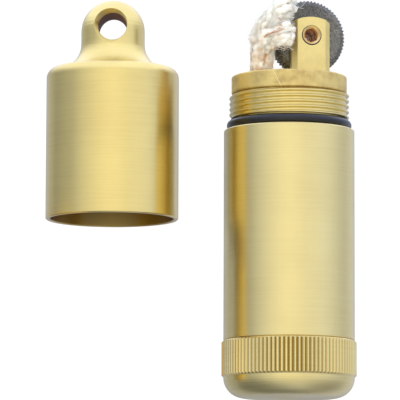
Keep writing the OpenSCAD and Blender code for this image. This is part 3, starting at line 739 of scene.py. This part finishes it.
def fibre_path(route, split, start, end, spread, wander, rng):
    """A fibre's path in a bundle, between two shares of the route. It keeps to its bundle's
    side of the stem, which split gives, and then to its own place in the lock."""
    turn, reach = rng.uniform(0, math.tau), math.sqrt(rng.random()) * spread
    u, v = reach * math.cos(turn), reach * math.sin(turn)
    stem_v = split + STEM_SHARE * v if split else v
    phase = rng.uniform(0, PHASES)
    count = max(FEWEST_STEPS, int((end - start) * len(route) * ROUTE_GAP / STRAND_STEP))
    path = []
    for i in range(count + 1):
        share = start + (end - start) * i / count
        here = on_route(route, share)
        ahead = on_route(route, min(share + LOOK_AHEAD, 1.0))
        back = on_route(route, max(share - LOOK_AHEAD, 0.0))
        along = Vector(ahead[:3]) - Vector(back[:3])
        side = along.cross(Vector((0, 1, 0))).normalized()
        deep = side.cross(along).normalized()
        late = min(max((share - SPLIT_START) / SPLIT_LENGTH, 0), 1)
        place_v = stem_v + (v - stem_v) * late
        sway = noise.noise_vector(Vector((phase, share * len(route) * SWAY_RATE, 0)))
        curl = noise.noise_vector(Vector((phase, share * len(route) * CURL_RATE, CURL_PLANE)))
        loose = STEM_LOOSE + LOCK_LOOSE * late + late * share ** 3
        offset = side * (u * here[3]) + deep * (-place_v * here[4])
        push = (sway + curl * CURL_SHARE) * wander * loose
        path.append(clear_of_metal(Vector(here[:3]) + offset + push))
    return path


def short_of_ear(path):
    """The part of a fibre's path before it would lie over the near ear."""
    for i, point in enumerate(path):
        if point.x > SHORT_X and point.z < SHORT_TOP:
            return path[:i]
    return path


def lay_ply(mesh, route, split, end, rng):
    """A thick soft ply of a lock, with lumps where its fibres bunch."""
    path = fibre_path(route, split, 0, end, PLY_SPREAD, WANDER, rng)
    tint = mesh.verts.layers.float["shade"]
    first = len(mesh.verts)
    lay_strand(mesh, path, PLY_RADIUS, tip=0.85, sides=PLY_SIDES)
    mesh.verts.ensure_lookup_table()
    skin = [mesh.verts[i] for i in range(first, len(mesh.verts))]
    for i, vert in enumerate(skin):
        middle = path[i // PLY_SIDES]
        bulge = sum(noise.noise(vert.co * often) * swell for often, swell in PLY_LUMPS)
        vert.co = clear_of_metal(vert.co + (vert.co - middle) * bulge * PLY_SWELL)
        # Painted shade: the ply's dips take more cream colour, its swellings more white
        vert[tint] = min(max(0.5 - bulge * PLY_SWELL, 0), 1)


# Both kinds of chance start from the seed, so that each run spins the same wick
rng = random.Random(SEED)
noise.seed_set(SEED)
yarn = bmesh.new()
yarn.verts.layers.float.new("shade")
for route, split, plies, count, spread in BUNDLES:
    for _ in range(plies):
        lay_ply(yarn, route, split, rng.uniform(*PLY_REACH), rng)
    for _ in range(count):
        end = rng.uniform(*FIBRE_REACH)
        path = short_of_ear(fibre_path(route, split, 0, end, spread, WANDER, rng))
        radius = rng.uniform(*FIBRE_RADIUS)
        lay_strand(yarn, path, radius, tip=0.5, sides=4, shade=rng.random())
for route, count, far in WISPS:
    for _ in range(count):
        start = rng.uniform(*WISP_START)
        end = min(start + rng.uniform(*WISP_SPAN), far)
        wander = WISP_WANDER * far ** 4
        path = short_of_ear(fibre_path(route, 0, start, end, WISP_SPREAD, wander, rng))
        if len(path) >= FEWEST_POINTS:
            radius = rng.uniform(*WISP_RADIUS)
            lay_strand(yarn, path, radius, tip=0.6, sides=3, shade=rng.random() * 0.5)
foot = (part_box("wick")[0][1] - BASE_Y) / MM
root = [Vector((ROOT_X, 0, z)) for z in (foot, *ROOT_HEIGHTS)]
lay_strand(yarn, root, ROOT_RADIUS, tip=1, sides=16)
wick_mesh = bpy.data.meshes.new("wick_yarn")
yarn.to_mesh(wick_mesh)
yarn.free()
lies_in_insert(wick_mesh)
# Light sinks a little way into cotton and its fuzz spreads the rest, so it is soft and matt
cotton, tree = material("spun_cotton")
spot = add(tree, "TexCoord").outputs["Object"]
shade = add(tree, "Attribute", attribute_name="shade").outputs["Fac"]
colour = add(tree, "Mix", {0: shade, 6: srgb(COTTON), 7: srgb(COTTON_CREAM)}, data_type="RGBA")
patch = add(tree, "TexNoise", {"Vector": spot, "Scale": 1 / (PATCH_MM * MM), "Detail": 3.0})
low = add(tree, "SeparateXYZ", {0: spot})
low = add(tree, "MapRange", {"Value": low.outputs["Y"], "From Min": FLANGE_TOP_Y,
                             "From Max": STAIN_TOP_Y, "To Min": 0.95, "To Max": 0.12})
patch = add(tree, "MapRange", {"Value": patch, "From Min": 0.36, "From Max": 0.6})
stain = add(tree, "Math", {0: patch, 1: low}, operation="MULTIPLY")
colour = add(tree, "Mix", {0: stain, 6: colour.outputs[2], 7: srgb(COTTON_STAIN)},
             data_type="RGBA")
fuzz = add(tree, "TexNoise", {"Vector": spot, "Scale": 1 / (FUZZ_MM * MM), "Detail": 3.0,
                              "Roughness": 0.7})
bump = add(tree, "Bump", {"Height": fuzz, "Strength": 0.6, "Distance": FUZZ_DEPTH})
shader = add(tree, "BsdfPrincipled", {
    "Base Color": colour.outputs[2], "Roughness": 0.9, "IOR": 1.53, "Sheen Weight": 0.3,
    "Sheen Roughness": 0.5, "Subsurface Weight": 0.3, "Subsurface Radius": (1.0, 0.95, 0.9),
    "Subsurface Scale": 0.25 * MM, "Normal": bump,
})
add(tree, "OutputMaterial", {"Surface": shader})
wick = place("frayed_wick", wick_mesh, cotton)
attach(wick, "lighter")
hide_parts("wick")


# Copper strand. A few fine copper wires are spun into the wick to stiffen it. They show in the
# cleft of its stem and come out between the locks, bright where they are clean.
COPPER = "#f8cda6"
COPPER_DARK = "#c08a64"
TARNISH_MM = 0.91
WIRE_ROUTES = (
    ((-4.2, 0.0, 45.5), (-4.3, -0.8, 48.2), (-4.3, -1.6, 50.2), (-4.3, -3.0, 51.5),
     (-4.5, -4.9, 52.2), (-3.9, -5.7, 52.45), (-3.0, -6.0, 52.8), (-1.9, -6.3, 53.25)),
    ((-4.2, -0.3, 45.5), (-4.2, -0.9, 47.6), (-4.2, -1.8, 48.6), (-3.9, -2.5, 49.9),
     (-3.7, -2.6, 50.6)),
    ((-4.2, -0.3, 45.5), (-4.2, -0.9, 47.6), (-4.3, -1.8, 48.6), (-4.8, -2.5, 49.9),
     (-5.1, -2.6, 50.5)),
    ((-3.3, -4.9, 52.7), (-2.9, -5.3, 53.2), (-2.3, -5.5, 53.9), (-2.3, -5.3, 54.4),
     (-2.8, -5.1, 54.9)),
)
WIRE_COUNTS = (8, 4, 4, 1)
WIRE_RADIUS = 0.1
WIRE_GAP = 0.15   # from each wire to the middle of its route
WIRE_TWIST = 3   # radians over the whole route
WIRE_SLANT = 0.8
WIRE_STAGGER = 0.06   # the share of the route by which each wire ends before the last one
WIRE_STEPS = 32
copper, tree = material("drawn_copper")
spot = add(tree, "TexCoord").outputs["Object"]
tarnish = add(tree, "TexNoise", {"Vector": spot, "Scale": 1 / (TARNISH_MM * MM), "Detail": 4.0})
tarnish = add(tree, "MapRange", {"Value": tarnish, "From Min": 0.4, "From Max": 0.7})
colour = add(tree, "Mix", {0: tarnish, 6: srgb(COPPER), 7: srgb(COPPER_DARK)}, data_type="RGBA")
shader = add(tree, "BsdfPrincipled", {
    "Base Color": colour.outputs[2], "Metallic": 1.0, "Roughness": 0.32,
})
add(tree, "OutputMaterial", {"Surface": shader})
wires = bmesh.new()
for route, count in zip(WIRE_ROUTES, WIRE_COUNTS):
    for i in range(count):
        turn = math.tau * i / count
        gap = WIRE_GAP if count > 1 else 0.0
        path = []
        for j in range(WIRE_STEPS + 1):
            share = j / WIRE_STEPS * (1 - WIRE_STAGGER * i)
            twist = turn + WIRE_TWIST * share
            aside = Vector((math.cos(twist), math.sin(twist), WIRE_SLANT * math.cos(twist)))
            path.append(on_route(route, share) + aside * gap)
        lay_strand(wires, path, WIRE_RADIUS, tip=0.8, sides=6)
wire_mesh = bpy.data.meshes.new("copper_wires")
wires.to_mesh(wire_mesh)
wires.free()
lies_in_insert(wire_mesh)
wire_bundle = place("copper_wires", wire_mesh, copper)
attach(wire_bundle, "lighter")
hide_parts("wick_strand")


# Felt and cotton pads. Pressed wool felt closes the tank's packing, and four loose cotton pads
# over it hold the fuel. Each is pushed in by hand, so its faces are lumpy and its edge is soft.
FELT_GREY = "#b4ada0"
FELT_DARK = "#8c867b"
WOOL_MM = 0.3   # wool fibres are 0.03 mm thick, too fine for the picture
WOOL_DEPTH = 0.08 * MM
PAD_VOXEL = 0.4 * MM
PAD_WAVE = 2.2 * MM
PAD_SHIFT = 10.0   # between one pad's lumps and the next one's, so that no two are alike
WAVE_FADE = 1.0
WAVE_STEP = 2.0
WAVE_OCTAVES = 3
COTTON_PADS = 4


def fibrous_pad(name, node, finish, lumps, seed):
    """A soft disc grown from the space of its CAD solid, with its faces let in by noise."""
    grown = bpy.data.objects.new(name + "_grown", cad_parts[node].data.copy())
    scene.collection.objects.link(grown)
    remesh = grown.modifiers.new("grid", "REMESH")
    remesh.mode = "VOXEL"
    remesh.voxel_size = PAD_VOXEL
    rounded = grown.modifiers.new("rounded", "SMOOTH")
    rounded.factor = 0.5
    rounded.iterations = 3
    finished = grown.evaluated_get(bpy.context.evaluated_depsgraph_get())
    mesh = bpy.data.meshes.new_from_object(finished)
    bpy.data.objects.remove(grown)
    shift = Vector((seed * PAD_SHIFT, 0, 0))
    for vert in mesh.vertices:
        wave = noise.fractal(vert.co / PAD_WAVE + shift, WAVE_FADE, WAVE_STEP, WAVE_OCTAVES)
        vert.co -= vert.normal * lumps * (0.5 + 0.5 * max(-1, min(1, wave)))
    mesh.materials.clear()
    pad = place(name, mesh, finish)
    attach(pad, "lighter")
    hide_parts(node)


felt, tree = material("pressed_wool_felt")
spot = add(tree, "TexCoord").outputs["Object"]
wool = add(tree, "TexNoise", {"Vector": spot, "Scale": 1 / (WOOL_MM * MM), "Detail": 5.0,
                              "Distortion": 1.5})
colour = add(tree, "Mix", {0: wool, 6: srgb(FELT_GREY), 7: srgb(FELT_DARK)}, data_type="RGBA")
bump = add(tree, "Bump", {"Height": wool, "Strength": 0.5, "Distance": WOOL_DEPTH})
shader = add(tree, "BsdfPrincipled", {
    "Base Color": colour.outputs[2], "Roughness": 0.95, "IOR": 1.54, "Sheen Weight": 0.4,
    "Normal": bump,
})
add(tree, "OutputMaterial", {"Surface": shader})
fibrous_pad("wool_felt_pad", "felt_pad", felt, lumps=0.12 * MM, seed=1)
for i in range(1, COTTON_PADS + 1):
    fibrous_pad("cotton_pad_%d" % i, "wadding_%d" % i, cotton,
                lumps=0.35 * MM, seed=i + 1)
